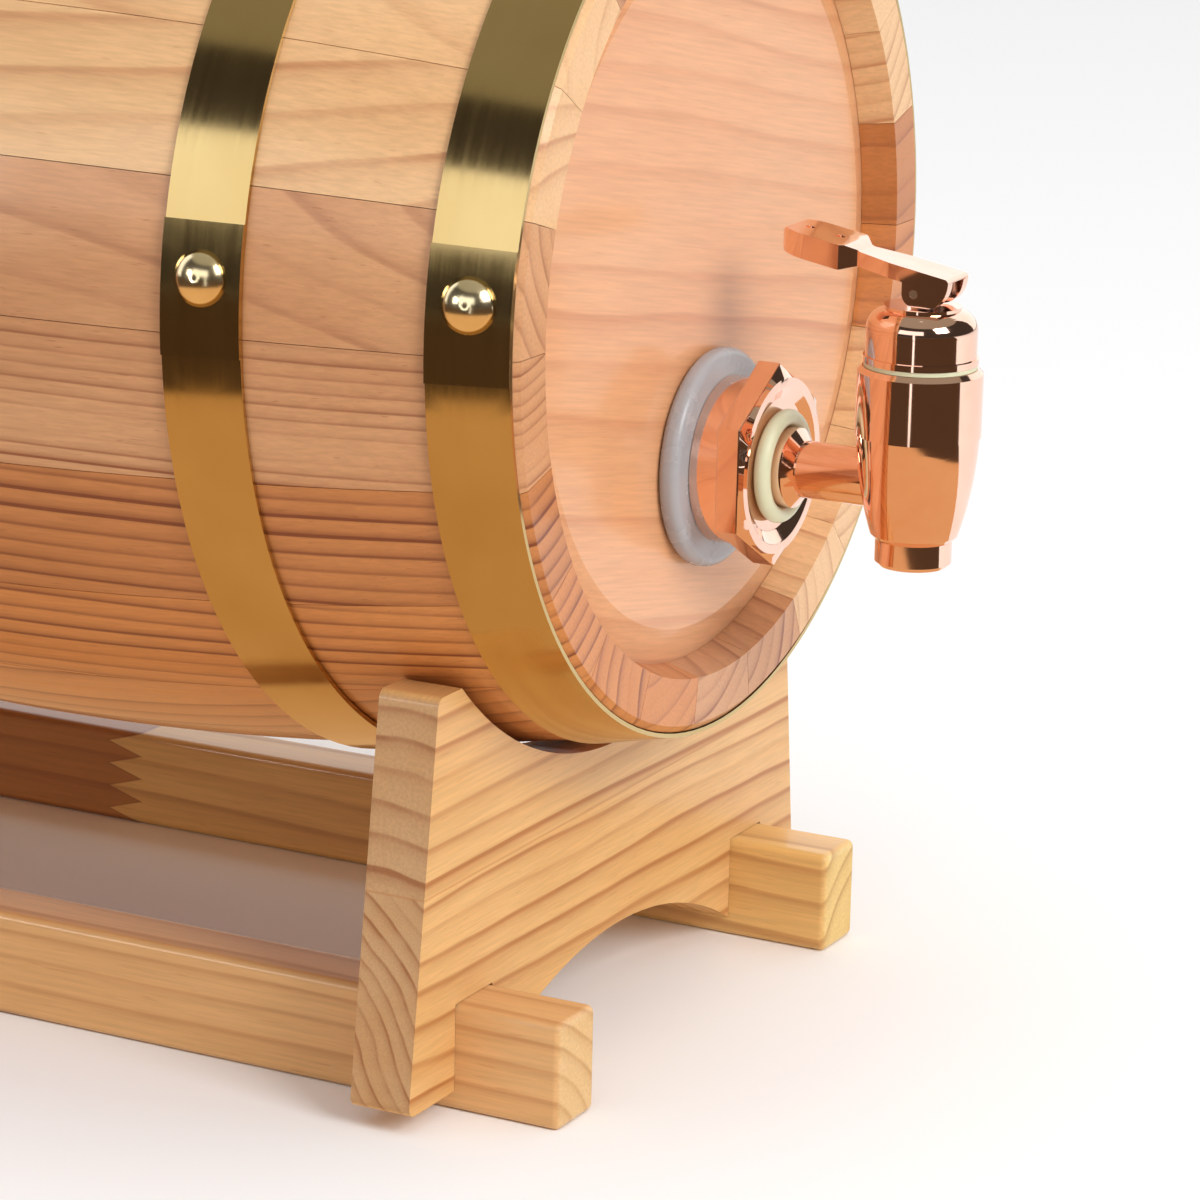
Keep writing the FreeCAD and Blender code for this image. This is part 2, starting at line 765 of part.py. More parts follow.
def screw_hole(place):
    radius = screw_radius + screw_hole_clearance
    head_radius = screw_head_radius + screw_hole_clearance
    head_top = screw_sink + screw_head_height
    shank = Part.makeCylinder(radius, screw_length + joint_clearance, place)
    mouth = Part.makeCylinder(head_radius, screw_sink, place)
    sink = Part.makeCone(head_radius, radius, head_top - screw_sink, place + Vector(0, 0, screw_sink))
    return shank.fuse(mouth).fuse(sink)


def far_rail():
    bar = block(-rail_length / 2, rail_length / 2, rail_inner_half_gap, rail_outer_half_gap, 0, rail_height)
    bar = bar.makeFillet(rail_edge_rounding, bar.Edges)
    for place in screw_places():
        if place.y > 0:
            bar = bar.cut(screw_hole(place))
    return bar


def plate_outline():
    foot = plate_foot_half_width
    horn = plate_horn_half_width
    points = [(-foot, plate_bottom), (foot, plate_bottom), (horn, plate_top), (-horn, plate_top)]
    return polygon([Vector(plate_back_x, y, z) for y, z in points])


def arch_cut():
    """Round underside of a plate, springing from the rails' inner faces."""
    rise = arch_height - plate_bottom
    left = Vector(plate_back_x, -rail_inner_half_gap, plate_bottom)
    right = Vector(plate_back_x, rail_inner_half_gap, plate_bottom)
    crown = Vector(plate_back_x, 0, plate_bottom + rise)
    face = face_of([arc(left, crown, right), Part.makeLine(right, left)])
    return face.extrude(Vector(plate_thickness, 0, 0))


def front_plate():
    solid = plate_outline().extrude(Vector(plate_thickness, 0, 0))
    upright = [e for e in solid.Edges if e.BoundBox.XLength > plate_thickness / 2]
    solid = solid.makeFillet(plate_corner_rounding, upright)
    cradle_radius = cask_outside(plate_back_x) + cradle_gap
    start = Vector(plate_back_x - plate_thickness, 0, axis_height)
    solid = solid.cut(Part.makeCylinder(cradle_radius, 3 * plate_thickness, start, Vector(1, 0, 0)))
    solid = solid.cut(arch_cut())
    notch = block(plate_back_x - plate_thickness, plate_front_x + plate_thickness,
                  rail_inner_half_gap - joint_clearance, rail_outer_half_gap + joint_clearance,
                  -plate_bottom, rail_height + joint_clearance)
    solid = solid.cut(notch).cut(mirrored_y(notch))
    for place in screw_places():
        if place.x > 0:
            solid = solid.cut(screw_hole(place))
    return solid


def assembly():
    nodes = {"stave_01": bung_stave()}
    for index in range(1, stave_count):
        nodes["stave_%02d" % (index + 1)] = stave(index)
    end_hoop_back = half_length - end_hoop_inset - hoop_width
    quarter_hoop_back = quarter_hoop_middle - hoop_width / 2
    hoops = {"end_hoop": (end_hoop_back, 0), "quarter_hoop": (quarter_hoop_back, quarter_hoop_lean_deg)}
    rivets = []
    for name, (back_x, lean_deg) in hoops.items():
        band = leaned(hoop(back_x), back_x, lean_deg)
        stud = leaned(rivet(back_x), back_x, lean_deg)
        nodes["front_" + name] = band
        nodes["rear_" + name] = mirrored_x(band)
        rivets += [stud, mirrored_x(stud)]
    nodes["hoop_rivets"] = Part.makeCompound(rivets)
    nodes["front_head"] = front_head()
    nodes["rear_head"] = mirrored_x(plain_head())
    pieces = [
        bung, bung_gasket, outer_washer, flange_nut, collar_ring, inner_washer, lock_nut,
        shank_pipe, tap_body, bonnet, bonnet_gasket, stem_o_ring, stem, seat_washer,
        return_spring, lever, lever_pin, far_rail, front_plate,
    ]
    for piece in pieces:
        nodes[piece.__name__] = piece()
    nodes["near_rail"] = mirrored_y(nodes["far_rail"])
    nodes["rear_plate"] = mirrored_x(nodes["front_plate"])
    nodes["stand_screws"] = Part.makeCompound([screw(place) for place in screw_places()])
    return nodes


def main():
    os.makedirs("parts", exist_ok=True)
    for name, shape in assembly().items():
        placed = shape.copy()
        placed.translate(Vector(-origin_x, 0, 0))
        valid = placed.isValid()
        print(name, len(placed.Solids), round(placed.Volume, 1), "valid" if valid else "NOT VALID")
        placed.exportStep("parts/%s.step" % name)


main()
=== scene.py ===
import math
import random

import bpy
import bmesh
from mathutils import Matrix, Vector


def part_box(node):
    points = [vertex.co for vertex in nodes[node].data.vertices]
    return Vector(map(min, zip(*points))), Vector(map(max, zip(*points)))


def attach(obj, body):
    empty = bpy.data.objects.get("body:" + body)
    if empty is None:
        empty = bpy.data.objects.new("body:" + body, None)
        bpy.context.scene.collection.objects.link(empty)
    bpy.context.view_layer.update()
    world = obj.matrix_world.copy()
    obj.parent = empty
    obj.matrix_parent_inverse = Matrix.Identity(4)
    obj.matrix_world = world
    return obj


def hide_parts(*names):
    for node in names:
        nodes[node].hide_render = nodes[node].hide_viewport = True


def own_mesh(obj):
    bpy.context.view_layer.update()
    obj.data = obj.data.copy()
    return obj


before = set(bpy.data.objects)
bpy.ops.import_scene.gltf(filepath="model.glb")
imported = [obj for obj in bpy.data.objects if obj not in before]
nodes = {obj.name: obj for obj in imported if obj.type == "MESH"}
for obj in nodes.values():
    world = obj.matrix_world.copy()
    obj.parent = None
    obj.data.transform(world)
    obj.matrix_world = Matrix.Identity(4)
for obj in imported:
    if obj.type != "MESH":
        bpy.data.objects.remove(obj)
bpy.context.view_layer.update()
random.seed(11)

originShift = 0.024975  # the frame's origin is this far in front of the cask's middle
axisHeight = 0.148  # the cask's axis over the floor
tapHeight = 0.1144  # the tap's pipe over the floor


def frameX(x):
    return x - originShift


# Node helpers

def newMaterial(name):
    material = bpy.data.materials.new(name)
    material.use_nodes = True
    tree = material.node_tree
    tree.nodes.clear()
    out = tree.nodes.new("ShaderNodeOutputMaterial")
    shader = tree.nodes.new("ShaderNodeBsdfPrincipled")
    tree.links.new(shader.outputs[0], out.inputs[0])
    return material, tree, shader


def feed(tree, socket, value):
    if isinstance(value, bpy.types.NodeSocket):
        tree.links.new(value, socket)
    else:
        socket.default_value = value


# inputs are given by name, or as i0, i1 and so on by number
def addNode(tree, kind, settings=None, **links):
    node = tree.nodes.new("ShaderNode" + kind)
    for key, value in (settings or {}).items():
        setattr(node, key, value)
    for key, value in links.items():
        numbered = key[0] == "i" and key[1:].isdigit()
        feed(tree, node.inputs[int(key[1:]) if numbered else key], value)
    return node


def calc(tree, operation, a, b=0.0, c=0.0):
    return addNode(tree, "Math", {"operation": operation}, i0=a, i1=b, i2=c).outputs[0]


def rgba(colour):
    if isinstance(colour, (int, float)):
        return (colour, colour, colour, 1.0)
    return (*colour, 1.0)


def mixColour(tree, factor, a, b, blend="MIX"):
    node = addNode(tree, "Mix", {"data_type": "RGBA", "blend_type": blend}, i0=factor, i6=a, i7=b)
    return node.outputs[2]


def ramp(tree, factor, stops):
    node = addNode(tree, "ValToRGB", i0=factor)
    elements = node.color_ramp.elements
    while len(elements) > 1:
        elements.remove(elements[-1])
    elements[0].position, elements[0].color = stops[0][0], rgba(stops[0][1])
    for position, colour in stops[1:]:
        element = elements.new(position)
        element.color = rgba(colour)
    return node.outputs[0]


def noise(tree, vector, scale, detail=2.0, roughness=0.5):
    return addNode(tree, "TexNoise", Vector=vector, Scale=scale, Detail=detail,
                   Roughness=roughness).outputs[0]


def mapped(tree, vector, location, scale, rotation=(0, 0, 0)):
    return addNode(tree, "Mapping", Vector=vector, Location=location, Rotation=rotation,
                   Scale=scale).outputs[0]


def bump(tree, height, strength, distance):
    return addNode(tree, "Bump", Height=height, Strength=strength, Distance=distance).outputs[0]


def setMaterial(node, material):
    for slot in nodes[node].material_slots:
        slot.material = material


# Wood, a solid of growth rings round a pith line, so side grain and end grain agree

woodLook = {
    "turn": Matrix.Identity(3), "centre": (0, 0, 0), "pith": (0.0, -0.04), "seed": 0.0,
    "lean": 0.01, "spacing": 0.0042, "wander": 2.2, "waver": 0.35, "line": 0.62, "fibre": 0.35,
    "rough": 0.36, "relief": 0.35, "coat": 0.4,
    "pale": (0.76, 0.43, 0.20), "mid": (0.68, 0.33, 0.14), "dark": (0.34, 0.11, 0.04),
}
grain = {
    "ringNoise": 3.7, "lineSpread": 2.4, "fibreRough": 0.16, "lineRough": 0.06,
    "fibreRelief": 0.6, "lineRelief": 0.25, "reliefDepth": 0.00012, "coatRough": 0.11,
    "specular": 0.4, "glueHalfWidth": 0.00022, "glueShade": 0.45, "jointHalfWidth": 0.0006,
    "jointShade": 0.5,
}
# noise in a board: stretch along, across and out of it, then scale, detail and roughness
grainFields = {
    "wander": ((1.6, 9, 9), 1.7, 2.0, 0.5),  # long bends of the rings
    "waver": ((9, 40, 40), 1.5, 1.5, 0.5),  # short bends of the rings
    "blush": ((3, 60, 60), 1.6, 2.0, 0.5),  # where the lines fade
    "patches": ((7, 26, 26), 1.0, 3.0, 0.6),  # pale and mid wood
    "fibre": ((55, 1500, 1500), 1.0, 3.0, 0.6),
    "pores": ((120, 1900, 1900), 1.0, 1.0, 0.5),
}
# what such a value turns into, as pairs of the value and its result
grainSteps = {
    "ring": [(0.0, 0.10), (0.10, 0.0), (0.45, 0.10), (0.74, 0.42), (0.88, 1.0), (0.95, 0.85),
             (1.0, 0.10)],
    "blush": [(0.3, 0.55), (0.6, 1.0)],
    "patches": [(0.30, 0.0), (0.70, 1.0)],
    "fibre": [(0.35, 0.62), (0.65, 1.0)],
    "pores": [(0.70, 0.0), (0.78, 0.35)],
    "ends": [(0.6, 0.0), (0.9, 1.0)],
}


# a turn whose rows are the directions along, across and out of a board
def boardAxes(along, out):
    along, out = Vector(along).normalized(), Vector(out).normalized()
    across = out.cross(along)
    return Matrix((along, across, along.cross(across)))


# into a board's own axes: x along the grain, z out of its face, measured from its pith
def boardPlace(tree, place, look, pith, tightness=1.0):
    turn = look["turn"]
    offset = turn @ Vector(look["centre"]) + Vector((0, pith[0], pith[1]))
    return mapped(tree, place, tuple(-offset * tightness), (tightness,) * 3,
                  tuple(turn.to_euler()))


# the same for two boards glued edge to edge, the lower one up to the glue line
def gluedPlace(tree, place, look):
    upper = boardPlace(tree, place, look, look["pith"])
    if "lowerBoard" not in look:
        return upper
    lower = boardPlace(tree, place, look, look["lowerBoard"], look["lowerTightness"])
    height = addNode(tree, "SeparateXYZ", Vector=place).outputs[2]
    isUpper = calc(tree, "GREATER_THAN", height, look["glueLine"])
    return addNode(tree, "Mix", {"data_type": "VECTOR"}, i0=isUpper, i4=lower, i5=upper).outputs[1]


def grainNoise(tree, local, field, shift):
    stretch, scale, detail, roughness = grainFields[field]
    return noise(tree, mapped(tree, local, shift, stretch), scale, detail, roughness)


def grainStep(tree, value, name):
    return ramp(tree, value, grainSteps[name])


# how many rings lie between the pith and a point
def ringCount(tree, local, look):
    seed = look["seed"]
    wander = grainNoise(tree, local, "wander", (seed, 0, 0))
    waver = grainNoise(tree, local, "waver", (0, seed, 0))
    parts = addNode(tree, "SeparateXYZ", Vector=local).outputs
    squares = [calc(tree, "MULTIPLY", parts[axis], parts[axis]) for axis in (1, 2)]
    radius = calc(tree, "SQRT", calc(tree, "ADD", *squares))
    radius = calc(tree, "MULTIPLY_ADD", parts[0], look["lean"], radius)
    rings = calc(tree, "DIVIDE", radius, look["spacing"])
    rings = calc(tree, "MULTIPLY_ADD", wander, look["wander"], rings)
    return calc(tree, "MULTIPLY_ADD", waver, look["waver"], rings)


# how dark each ring's line is, stronger in some rings and faded here and there
def lineDepth(tree, local, rings, line, look):
    seed, spread = look["seed"], grain["lineSpread"]
    ringSpot = addNode(tree, "CombineXYZ", X=calc(tree, "FLOOR", rings), Y=seed).outputs[0]
    each = noise(tree, ringSpot, grain["ringNoise"], 0.0)
    depth = calc(tree, "MULTIPLY_ADD", each, spread, look["line"] - spread / 2)
    depth = calc(tree, "MULTIPLY", line, depth)
    blush = grainNoise(tree, local, "blush", (2, seed, 0))
    return calc(tree, "MULTIPLY", depth, grainStep(tree, blush, "blush"))


def tinted(tree, factor, colour, tint):
    return mixColour(tree, factor, colour, mixColour(tree, 1.0, colour, rgba(tint), "MULTIPLY"))


# end grain takes the lacquer otherwise than the sides
def tintEnds(tree, colour, look):
    normal = addNode(tree, "TexCoord").outputs["Normal"]
    facing = addNode(tree, "SeparateXYZ", Vector=normal).outputs[look["endAxis"]]
    isEnd = grainStep(tree, calc(tree, "ABSOLUTE", facing), "ends")
    return tinted(tree, isEnd, colour, look["endTint"])


# a zigzag joint where a rail's two lengths are glued, each of another tone; on the far rail the
# tint also lifts the front length out of the rail's painted shade
def fingerJoint(tree, place, colour, look):
    parts = addNode(tree, "SeparateXYZ", Vector=place).outputs
    joint = look["joint"]
    teeth = calc(tree, "PINGPONG", parts[2], joint["pitch"])
    along = calc(tree, "MULTIPLY_ADD", teeth, joint["depth"] / joint["pitch"], parts[0])
    step = calc(tree, "SUBTRACT", along, joint["x"])
    colour = tinted(tree, calc(tree, "GREATER_THAN", step, 0.0), colour, joint["tint"])
    line = calc(tree, "COMPARE", step, 0.0, grain["jointHalfWidth"])
    shade = calc(tree, "MULTIPLY", line, grain["jointShade"])
    return mixColour(tree, shade, colour, rgba(look["dark"]))


def glueLine(tree, place, colour, look):
    height = addNode(tree, "SeparateXYZ", Vector=place).outputs[2]
    near = calc(tree, "COMPARE", height, look["glueLine"], grain["glueHalfWidth"])
    shade = calc(tree, "MULTIPLY", near, grain["glueShade"])
    return mixColour(tree, shade, colour, rgba(look["dark"]))


def makeWood(name, look):
    material, tree, shader = newMaterial(name)
    place = addNode(tree, "TexCoord").outputs["Object"]
    seed = look["seed"]
    pale, mid, dark = (rgba(look[key]) for key in ("pale", "mid", "dark"))
    local = gluedPlace(tree, place, look)
    rings = ringCount(tree, local, look)
    line = grainStep(tree, calc(tree, "FRACT", rings), "ring")
    patches = grainNoise(tree, local, "patches", (seed, 3, 1))
    fibre = grainNoise(tree, local, "fibre", (0, 0, seed))
    pores = grainNoise(tree, local, "pores", (seed, 0, 0))

    colour = mixColour(tree, grainStep(tree, patches, "patches"), pale, mid)
    colour = mixColour(tree, lineDepth(tree, local, rings, line, look), colour, dark)
    colour = mixColour(tree, look["fibre"], colour, grainStep(tree, fibre, "fibre"), "MULTIPLY")
    colour = mixColour(tree, grainStep(tree, pores, "pores"), colour, dark)
    if "endTint" in look:
        colour = tintEnds(tree, colour, look)
    if "joint" in look:
        colour = fingerJoint(tree, place, colour, look)
    if "glueLine" in look:
        colour = glueLine(tree, place, colour, look)
    feed(tree, shader.inputs["Base Color"], colour)

    base = look["rough"] - grain["fibreRough"] / 2
    rough = calc(tree, "MULTIPLY_ADD", line, grain["lineRough"], base)
    rough = calc(tree, "MULTIPLY_ADD", fibre, grain["fibreRough"], rough)
    feed(tree, shader.inputs["Roughness"], rough)
    relief = calc(tree, "MULTIPLY", line, grain["lineRelief"])
    relief = calc(tree, "MULTIPLY_ADD", fibre, grain["fibreRelief"], relief)
    relief = bump(tree, relief, look["relief"], grain["reliefDepth"])
    feed(tree, shader.inputs["Normal"], relief)
    shader.inputs["Coat Weight"].default_value = look["coat"]
    shader.inputs["Coat Roughness"].default_value = grain["coatRough"]
    shader.inputs["Specular IOR Level"].default_value = grain["specular"]
    return material


# Staves, from the top one round the near side; each is cut from another board

staves = {
    "count": 22, "faceRadius": 0.1, "seedStep": 3.1, "paleBefore": 4, "paleAfter": 18,
    "across": (-0.05, 0.05), "below": (0.015, 0.05), "spacing": (0.0036, 0.0052),
    "line": (0.35, 0.75), "lean": (-0.014, 0.014),
}
staveTones = {
    "pale": {"pale": (0.84, 0.52, 0.26), "mid": (0.78, 0.44, 0.20), "dark": (0.54, 0.23, 0.09)},
    "warm": {"pale": (0.68, 0.34, 0.155), "mid": (0.59, 0.255, 0.10),
             "dark": (0.30, 0.085, 0.028)},
    "deep": {"pale": (0.60, 0.22, 0.062), "mid": (0.50, 0.165, 0.038),
             "dark": (0.22, 0.045, 0.009)},
    "red": {"pale": (0.69, 0.26, 0.068), "mid": (0.60, 0.195, 0.042),
            "dark": (0.24, 0.050, 0.010)},
}
# the near side's boards: tone, pith across and below the face, ring spacing, line darkness
staveBoards = {
    4: ("pale", 0.010, 0.045, 0.0050, 0.45),
    5: ("pale", -0.022, 0.034, 0.0056, 0.42),
    6: ("warm", 0.018, 0.050, 0.0040, 0.30),
    7: ("warm", 0.050, 0.016, 0.0026, 0.55),
    8: ("deep", 0.046, 0.020, 0.0036, 1.10),
    9: ("red", 0.040, 0.024, 0.0038, 0.75),
    10: ("red", -0.030, 0.030, 0.0044, 0.60),
    11: ("red", 0.015, 0.040, 0.0044, 0.50),
}


def dressStaves():
    tones = list(staveTones)
    for index in range(staves["count"]):
        number = index + 1
        board = staveBoards.get(number)
        if board is None:
            isPale = number < staves["paleBefore"] or number > staves["paleAfter"]
            ranges = (staves[key] for key in ("across", "below", "spacing", "line"))
            board = (random.choice(tones[:2] if isPale else tones),
                     *(random.uniform(low, high) for low, high in ranges))
        tone, across, below, spacing, line = board
        look = dict(woodLook)
        look.update(staveTones[tone])
        angle = index * 2 * math.pi / staves["count"]
        look.update(turn=Matrix.Rotation(-angle, 3, "X"), centre=(0, 0, axisHeight),
                    pith=(across, staves["faceRadius"] - below), spacing=spacing, line=line,
                    seed=staves["seedStep"] * number, lean=random.uniform(*staves["lean"]))
        setMaterial("stave_%02d" % number, makeWood("staveWood%02d" % number, look))


dressStaves()
print("staves dressed")

# Heads and bung

headLook = dict(woodLook)
headLook.update(pale=(0.80, 0.42, 0.215), mid=(0.77, 0.36, 0.165), dark=(0.57, 0.21, 0.09),
                turn=boardAxes((0, 0.98, -0.19), (0, 0.19, 0.98)),
                centre=(frameX(0.130), 0, axisHeight), pith=(0.060, -0.155), spacing=0.0086,
                line=0.45, wander=2.4, waver=0.5, seed=7.0, rough=0.34, relief=0.2)
setMaterial("front_head", makeWood("frontHeadWood", headLook))
rearLook = dict(headLook)
rearLook.update(centre=(frameX(-0.130), 0, axisHeight), seed=19.0, pith=(0.050, -0.120))
setMaterial("rear_head", makeWood("rearHeadWood", rearLook))
bungLook = dict(woodLook)
bungLook.update(turn=Matrix.Rotation(math.radians(90), 3, "Y"), centre=(frameX(0), 0, axisHeight),
                pith=(0.012, 0.006), spacing=0.0026, seed=5.0)
setMaterial("bung", makeWood("bungWood", bungLook))

# Stand, of yellower pine: plates of two boards grained across, rails grained along

pineLook = dict(woodLook)
pineLook.update(pale=(0.84, 0.51, 0.215), mid=(0.79, 0.43, 0.15), dark=(0.50, 0.19, 0.05),
                spacing=0.0062, line=0.6, rough=0.4, coat=0.25)
plateLook = dict(pineLook)
plateLook.update(turn=Matrix.Rotation(math.radians(-90), 3, "Z"), pith=(0.004, -0.085),
                 glueLine=0.0445, lowerBoard=(0.050, -0.060), lowerTightness=1.9, wander=2.6,
                 line=0.8, endTint=(0.76, 0.74, 0.84), endAxis=1)
plates = {"x": 0.107, "middleHeight": 0.045, "seed": 23.0}
for sign, name in ((1, "front"), (-1, "rear")):
    plateLook.update(centre=(frameX(sign * plates["x"]), 0, plates["middleHeight"]),
                     seed=plates["seed"] + sign)
    setMaterial(name + "_plate", makeWood(name + "PlatePine", plateLook))

railLook = dict(pineLook)
railLook.update(spacing=0.0050, line=0.5, endTint=(1.0, 1.16, 1.34), endAxis=0)
railTonesAndShade = {
    "near": {"pale": (0.86, 0.62, 0.35), "mid": (0.82, 0.55, 0.28), "dark": (0.52, 0.25, 0.09)},
    # the far rail's darker colours are painted shade for the cask's shadow it lies in, over a
    # redder board
    "far": {"pale": (0.50, 0.205, 0.055), "mid": (0.42, 0.15, 0.034),
            "dark": (0.25, 0.065, 0.013)},
}
railJoint = {"x": -0.0565, "pitch": 0.0026, "depth": 0.0085}
# the far tint lifts the far rail's front length out of its painted shade, besides the joint's real
# tone step
jointTintsAndShade = {"near": (0.96, 0.78, 0.60), "far": (1.85, 2.90, 4.00)}
rails = {"y": 0.058, "middleHeight": 0.010, "pithAcross": 0.020, "pithBelow": -0.024,
         "seed": 31.0}
for sign, name in ((-1, "near"), (1, "far")):
    railLook.update(railTonesAndShade[name])
    railLook.update(centre=(0, sign * rails["y"], rails["middleHeight"]),
                    pith=(rails["pithAcross"] * sign, rails["pithBelow"]),
                    seed=rails["seed"] + sign, joint=dict(railJoint, tint=jointTintsAndShade[name]))
    setMaterial(name + "_rail", makeWood(name + "RailPine", railLook))
print("heads and stand dressed")

# Brass strip, brushed along the hoop, with a dull smudge here and there

brassLook = {
    "colour": (0.63, 0.465, 0.21), "dull": (0.55, 0.38, 0.15), "rough": 0.125, "streak": 0.09,
    "wide": 0.08, "streaksAcross": 4200.0, "streaksRound": 3.0, "wideShift": (4, 0, 0),
    "wideStretch": (0.16, 0.8, 1), "smudge": 26.0, "scratch": 0.22, "scratchDepth": 0.00003,
}


def dulled(tree, look, value, stops):
    return mixColour(tree, ramp(tree, value, stops), rgba(look["colour"]), rgba(look["dull"]))


def makeBrass(name, look):
    material, tree, shader = newMaterial(name)
    place = addNode(tree, "TexCoord").outputs["Object"]
    parts = addNode(tree, "SeparateXYZ", Vector=place).outputs
    up = calc(tree, "SUBTRACT", parts[2], axisHeight)
    angle = calc(tree, "ARCTAN2", parts[1], up)
    strip = addNode(tree, "CombineXYZ", X=calc(tree, "MULTIPLY", parts[0], look["streaksAcross"]),
                    Y=calc(tree, "MULTIPLY", angle, look["streaksRound"])).outputs[0]
    streak = noise(tree, strip, 1.0, 3.0, 0.65)
    wide = noise(tree, mapped(tree, strip, look["wideShift"], look["wideStretch"]), 1.0)
    smudge = noise(tree, place, look["smudge"], 3.0, 0.6)
    feed(tree, shader.inputs["Base Color"], dulled(tree, look, smudge, [(0.35, 0.0), (0.75, 1.0)]))
    shader.inputs["Metallic"].default_value = 1.0
    base = look["rough"] - look["streak"] / 2
    rough = calc(tree, "MULTIPLY_ADD", streak, look["streak"], base)
    rough = calc(tree, "SUBTRACT", rough, look["wide"] / 2)
    rough = calc(tree, "MULTIPLY_ADD", wide, look["wide"], rough)
    feed(tree, shader.inputs["Roughness"], rough)
    feed(tree, shader.inputs["Normal"], bump(tree, streak, look["scratch"], look["scratchDepth"]))
    return material


# Polished metals, with a faint haze

polish = {"haze": 90.0, "hazeRough": 0.08, "fine": 900.0, "fineRelief": 0.04, "fineDepth": 0.00002}
roseLook = {"colour": (0.96, 0.65, 0.52), "dull": (0.92, 0.57, 0.43), "rough": 0.07}
rivetLook = {"colour": (0.92, 0.78, 0.50), "dull": (0.80, 0.62, 0.34), "rough": 0.2}
steelLook = {"colour": (0.66, 0.66, 0.67), "dull": (0.52, 0.52, 0.53), "rough": 0.22}


def makePolished(name, look):
    material, tree, shader = newMaterial(name)
    place = addNode(tree, "TexCoord").outputs["Object"]
    haze = noise(tree, place, polish["haze"], 3.0, 0.6)
    fine = noise(tree, place, polish["fine"])
    feed(tree, shader.inputs["Base Color"], dulled(tree, look, haze, [(0.4, 0.0), (0.8, 1.0)]))
    shader.inputs["Metallic"].default_value = 1.0
    base = look["rough"] - polish["hazeRough"] / 2
    feed(tree, shader.inputs["Roughness"],
         calc(tree, "MULTIPLY_ADD", haze, polish["hazeRough"], base))
    feed(tree, shader.inputs["Normal"], bump(tree, fine, polish["fineRelief"], polish["fineDepth"]))
    return material


# Seals, cloudy and a little soft to the light

rubber = {"cloud": 140.0, "cloudDim": 0.86, "cloudRough": 0.2, "fine": 900.0, "fineRelief": 0.05,
          "fineDepth": 0.00002, "softness": 0.25, "softDepth": (0.004, 0.004, 0.004)}
siliconeLook = {"colour": (0.43, 0.42, 0.43), "rough": 0.26}
sealLook = {"colour": (0.74, 0.74, 0.50), "rough": 0.36}


def makeRubber(name, look):
    material, tree, shader = newMaterial(name)
    place = addNode(tree, "TexCoord").outputs["Object"]
    cloud = noise(tree, place, rubber["cloud"], 3.0, 0.6)
    dim = tuple(channel * rubber["cloudDim"] for channel in look["colour"])
    colour = mixColour(tree, cloud, rgba(look["colour"]), rgba(dim))
    feed(tree, shader.inputs["Base Color"], colour)
    base = look["rough"] - rubber["cloudRough"] / 2
    feed(tree, shader.inputs["Roughness"],
         calc(tree, "MULTIPLY_ADD", cloud, rubber["cloudRough"], base))
    fine = noise(tree, place, rubber["fine"])
    feed(tree, shader.inputs["Normal"], bump(tree, fine, rubber["fineRelief"], rubber["fineDepth"]))
    shader.inputs["Subsurface Weight"].default_value = rubber["softness"]
    shader.inputs["Subsurface Radius"].default_value = rubber["softDepth"]
    return material


brass = makeBrass("brushedBrass", brassLook)
rivetBrass = makePolished("rivetBrass", rivetLook)
rose = makePolished("roseGold", roseLook)
steel = makePolished("stemSteel", steelLook)
silicone = makeRubber("clearSilicone", siliconeLook)
sealRubber = makeRubber("creamSeal", sealLook)
finishes = (
    (brass, ("front_end_hoop", "rear_end_hoop", "front_quarter_hoop", "rear_quarter_hoop")),
    (rivetBrass, ("hoop_rivets",)),
    (rose, ("flange_nut", "shank_pipe", "tap_body", "bonnet", "lever", "lock_nut")),
    (steel, ("stem", "lever_pin", "return_spring", "stand_screws")),
    (silicone, ("outer_washer", "bung_gasket", "inner_washer")),
    (sealRubber, ("collar_ring", "bonnet_gasket", "stem_o_ring", "seat_washer")),
)
for material, names in finishes:
    for name in names:
        setMaterial(name, material)
print("metals and seals dressed")


# Pieces that stand for the frame's: nut, lever, washer, rivets and spring

def finishPiece(name, bm, material, sharpAngle=32.0):
    mesh = bpy.data.meshes.new(name)
    bm.to_mesh(mesh)
    bm.free()
    for face in mesh.polygons:
        face.use_smooth = True
    mesh.set_sharp_from_angle(angle=math.radians(sharpAngle))
    mesh.materials.append(material)
    piece = bpy.data.objects.new(name, mesh)
    bpy.context.scene.collection.objects.link(piece)
    return piece


# a closed outline of (x, radius) points, turned round the pipe's axis
def spinOutline(bm, outline, steps):
    verts = [bm.verts.new((frameX(x), 0, tapHeight + radius)) for x, radius in outline]
    for first, second in zip(verts, verts[1:] + verts[:1]):
        bm.edges.new((first, second))
    bmesh.ops.spin(bm, geom=bm.verts[:] + bm.edges[:], cent=(0, 0, tapHeight), axis=(1, 0, 0),
                   angle=2 * math.pi, steps=steps, use_merge=True)
    bmesh.ops.remove_doubles(bm, verts=bm.verts, dist=1e-6)
    bmesh.ops.recalc_face_normals(bm, faces=bm.faces)


def easeCorners(bm, degrees, width):
    edges = [edge for edge in bm.edges
             if edge.is_manifold and math.degrees(edge.calc_face_angle(0.0)) > degrees]
    bmesh.ops.bevel(bm, geom=edges, offset=width, segments=3, profile=0.5, material=-1,
                    affect="EDGES", clamp_overlap=True)


def evenShading(piece):
    shade = piece.modifiers.new("evenShading", "WEIGHTED_NORMAL")
    shade.keep_sharp = True


nut = {"flangeBack": 0.1343, "nutBack": 0.1405, "front": 0.1461, "dishFloor": 0.1447,
       "bore": 0.0092, "flange": 0.016, "acrossFlats": 0.034, "chamfer": 0.0011, "dish": 0.0150,
       "dishFoot": 0.0126, "steps": 96, "ease": 0.00022, "easeAbove": 24}


